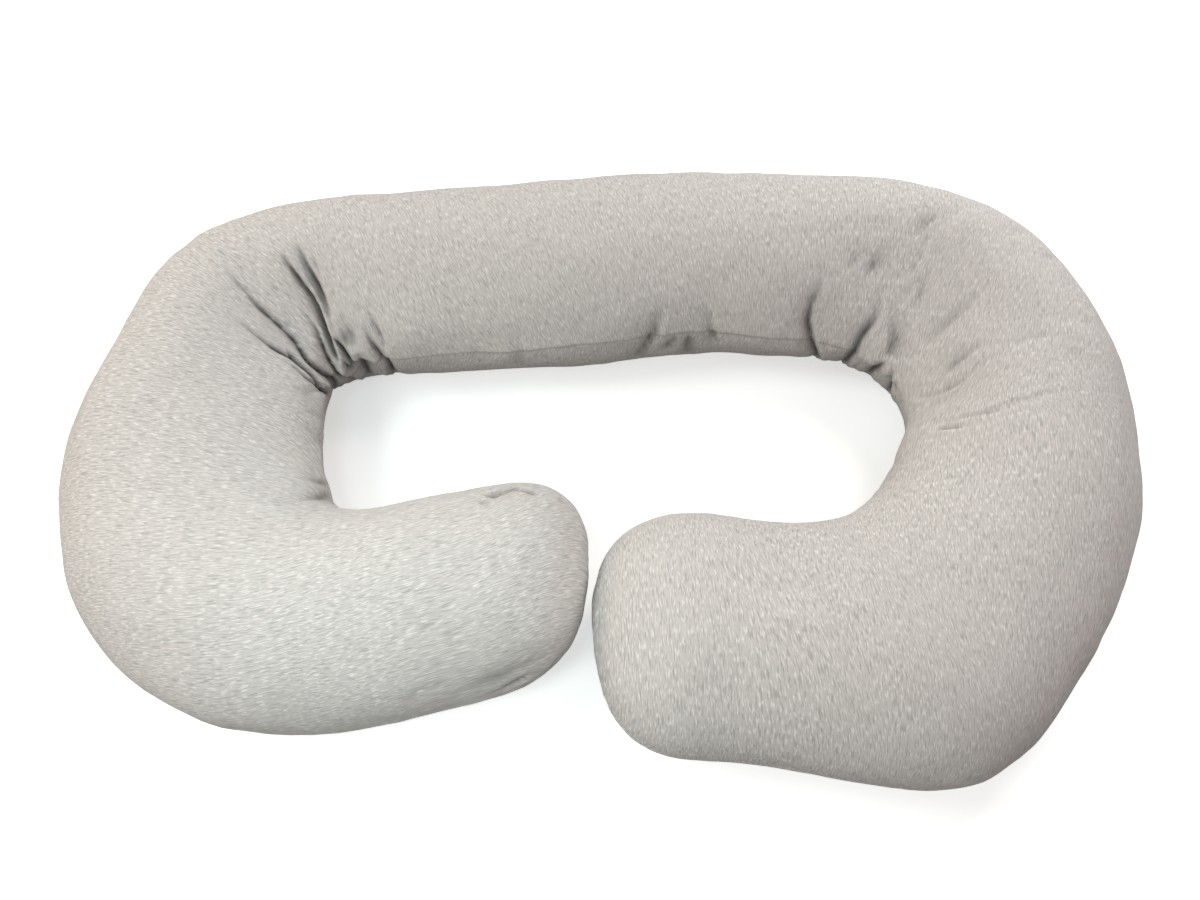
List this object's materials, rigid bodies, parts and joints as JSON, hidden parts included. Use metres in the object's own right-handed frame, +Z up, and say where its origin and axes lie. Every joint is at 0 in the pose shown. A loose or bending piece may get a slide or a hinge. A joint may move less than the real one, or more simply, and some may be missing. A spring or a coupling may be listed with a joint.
{
  "type": "C-shaped body pillow",
  "caption": "C-shaped body pillow of heather grey jersey lying flat, a filled tube bent round into two arms, with a seam round its sides.",
  "frame": {"origin": "on the floor, under the middle of the pillow's outline", "axes": "+X along the pillow's length, from the left arm's side to the right one; +Y from the open side to the back; +Z up, through its thickness"},
  "size_m": [1.399, 0.882, 0.212],
  "materials": {
    "jersey": "matt heather grey cotton jersey knit with short light and dark streaks"
  },
  "bodies": {
    "root": {"pillow": "jersey"}
  },
  "joints": []
}
